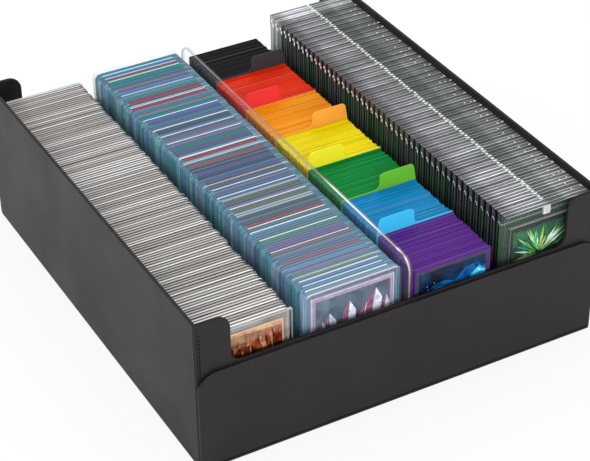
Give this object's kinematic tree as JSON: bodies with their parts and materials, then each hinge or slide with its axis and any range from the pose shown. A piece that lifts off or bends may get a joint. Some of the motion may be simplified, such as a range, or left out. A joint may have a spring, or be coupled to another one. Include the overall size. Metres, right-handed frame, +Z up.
{
  "type": "trading card storage box",
  "caption": "Open leatherette card tray standing on its fold-out cover, with rows of card holders, coloured sleeved cards, tabbed dividers and a clear centre divider.",
  "frame": {"origin": "middle of the footprint, on the table", "axes": "+X to the right along the width, -Y to the front, where the first cards of the rows show in the finger cut-out, +Z up"},
  "size_m": [0.344, 0.385, 0.1305],
  "materials": {
    "leatherette": "fine matte grain, charcoal",
    "lining": "short dark microfibre nap",
    "board": "grey book-binding board",
    "foam": "closed-cell foam sheet",
    "magnet": "nickel-plated bar magnet",
    "acrylic": "clear polished acrylic with bright cut edges",
    "toploader": "clear rigid vinyl",
    "snap_holder": "clear hard plastic, faintly blue-green",
    "magnetic_case": "clear hard plastic with polished edges",
    "card": "printed card",
    "sleeve_purple": "matte card sleeve",
    "sleeve_blue": "matte card sleeve",
    "sleeve_green": "matte card sleeve",
    "sleeve_yellow": "matte card sleeve",
    "sleeve_orange": "matte card sleeve",
    "sleeve_red": "matte card sleeve",
    "sleeve_black": "matte card sleeve",
    "tab_blue": "smooth plastic sheet",
    "tab_green": "smooth plastic sheet",
    "tab_yellow": "smooth plastic sheet",
    "tab_orange": "smooth plastic sheet",
    "tab_red": "smooth plastic sheet",
    "tab_black": "smooth plastic sheet"
  },
  "bodies": {
    "cover": {"cover_board": "board", "cover_skin": "leatherette", "cover_lining": "lining", "fold_front": "leatherette", "fold_back": "leatherette"},
    "front_flap": {"front_flap_board": "board", "front_flap_lining": "lining", "front_flap_magnets": "magnet", "front_flap_skin": "leatherette"},
    "back_flap": {"back_flap_board": "board", "back_flap_lining": "lining", "back_flap_magnets": "magnet", "back_flap_skin": "leatherette"},
    "tray": {"tray_board_back": "board", "tray_board_front": "board", "tray_board_left": "board", "tray_board_right": "board", "tray_floor_board": "board", "tray_floor_lining": "lining", "tray_floor_pad": "foam", "tray_magnets_back": "magnet", "tray_magnets_front": "magnet", "tray_skin": "leatherette", "tray_wall_lining": "lining"},
    "centre_divider": {"centre_divider": "acrylic"},
    "row1_front_toploader": {"front_toploader": "toploader", "front_toploader_card": "card"},
    "row1_toploaders": {"row1_toploaders": "toploader"},
    "row2_front_holder": {"front_holder_back": "snap_holder", "front_holder_card": "card", "front_holder_front": "snap_holder"},
    "row2_holders": {"row2_holders": "snap_holder"},
    "row3_front_card": {"front_sleeved_card": "sleeve_purple"},
    "row3_cards_purple": {"cards_purple": "sleeve_purple"},
    "row3_cards_blue": {"cards_blue": "sleeve_blue"},
    "row3_divider_blue": {"divider_blue": "tab_blue"},
    "row3_cards_green": {"cards_green": "sleeve_green"},
    "row3_divider_green": {"divider_green": "tab_green"},
    "row3_cards_yellow": {"cards_yellow": "sleeve_yellow"},
    "row3_divider_yellow": {"divider_yellow": "tab_yellow"},
    "row3_cards_orange": {"cards_orange": "sleeve_orange"},
    "row3_divider_orange": {"divider_orange": "tab_orange"},
    "row3_cards_red": {"cards_red": "sleeve_red"},
    "row3_divider_red": {"divider_red": "tab_red"},
    "row3_cards_black": {"cards_black": "sleeve_black"},
    "row3_divider_black": {"divider_black": "tab_black"},
    "row4_front_case": {"front_case_back": "magnetic_case", "front_case_card": "card", "front_case_front": "magnetic_case", "front_case_magnet": "magnet"},
    "row4_cases": {"row4_case_backs": "magnetic_case", "row4_case_fronts": "magnetic_case", "row4_case_magnets": "magnet"}
  },
  "joints": [
    {"name": "front_flap_fold", "type": "hinge", "parent": "cover", "child": "front_flap", "pos_m": [0, -0.19125, 0.00125], "axis": [1, 0, 0], "range_deg": [0, 90]},
    {"name": "back_flap_fold", "type": "hinge", "parent": "cover", "child": "back_flap", "pos_m": [0, 0.19125, 0.00125], "axis": [-1, 0, 0], "range_deg": [0, 90]},
    {"name": "tray_lift", "type": "slide", "parent": "cover", "child": "tray", "axis": [0, 0, 1], "range_m": [0, 0.14]},
    {"name": "centre_divider_lift", "type": "slide", "parent": "tray", "child": "centre_divider", "axis": [0, 0, 1], "range_m": [0, 0.125]},
    {"name": "row1_front_toploader_lift", "type": "slide", "parent": "tray", "child": "row1_front_toploader", "axis": [0, 0, 1], "range_m": [0, 0.125]},
    {"name": "row1_toploaders_lift", "type": "slide", "parent": "tray", "child": "row1_toploaders", "axis": [0, 0, 1], "range_m": [0, 0.125]},
    {"name": "row2_front_holder_lift", "type": "slide", "parent": "tray", "child": "row2_front_holder", "axis": [0, 0, 1], "range_m": [0, 0.125]},
    {"name": "row2_holders_lift", "type": "slide", "parent": "tray", "child": "row2_holders", "axis": [0, 0, 1], "range_m": [0, 0.125]},
    {"name": "row3_front_card_lift", "type": "slide", "parent": "tray", "child": "row3_front_card", "axis": [0, 0, 1], "range_m": [0, 0.125]},
    {"name": "row3_cards_purple_lift", "type": "slide", "parent": "tray", "child": "row3_cards_purple", "axis": [0, 0, 1], "range_m": [0, 0.125]},
    {"name": "row3_cards_blue_lift", "type": "slide", "parent": "tray", "child": "row3_cards_blue", "axis": [0, 0, 1], "range_m": [0, 0.125]},
    {"name": "row3_divider_blue_lift", "type": "slide", "parent": "tray", "child": "row3_divider_blue", "axis": [0, 0, 1], "range_m": [0, 0.125]},
    {"name": "row3_cards_green_lift", "type": "slide", "parent": "tray", "child": "row3_cards_green", "axis": [0, 0, 1], "range_m": [0, 0.125]},
    {"name": "row3_divider_green_lift", "type": "slide", "parent": "tray", "child": "row3_divider_green", "axis": [0, 0, 1], "range_m": [0, 0.125]},
    {"name": "row3_cards_yellow_lift", "type": "slide", "parent": "tray", "child": "row3_cards_yellow", "axis": [0, 0, 1], "range_m": [0, 0.125]},
    {"name": "row3_divider_yellow_lift", "type": "slide", "parent": "tray", "child": "row3_divider_yellow", "axis": [0, 0, 1], "range_m": [0, 0.125]},
    {"name": "row3_cards_orange_lift", "type": "slide", "parent": "tray", "child": "row3_cards_orange", "axis": [0, 0, 1], "range_m": [0, 0.125]},
    {"name": "row3_divider_orange_lift", "type": "slide", "parent": "tray", "child": "row3_divider_orange", "axis": [0, 0, 1], "range_m": [0, 0.125]},
    {"name": "row3_cards_red_lift", "type": "slide", "parent": "tray", "child": "row3_cards_red", "axis": [0, 0, 1], "range_m": [0, 0.125]},
    {"name": "row3_divider_red_lift", "type": "slide", "parent": "tray", "child": "row3_divider_red", "axis": [0, 0, 1], "range_m": [0, 0.125]},
    {"name": "row3_cards_black_lift", "type": "slide", "parent": "tray", "child": "row3_cards_black", "axis": [0, 0, 1], "range_m": [0, 0.125]},
    {"name": "row3_divider_black_lift", "type": "slide", "parent": "tray", "child": "row3_divider_black", "axis": [0, 0, 1], "range_m": [0, 0.125]},
    {"name": "row4_front_case_lift", "type": "slide", "parent": "tray", "child": "row4_front_case", "axis": [0, 0, 1], "range_m": [0, 0.125]},
    {"name": "row4_cases_lift", "type": "slide", "parent": "tray", "child": "row4_cases", "axis": [0, 0, 1], "range_m": [0, 0.125]}
  ]
}
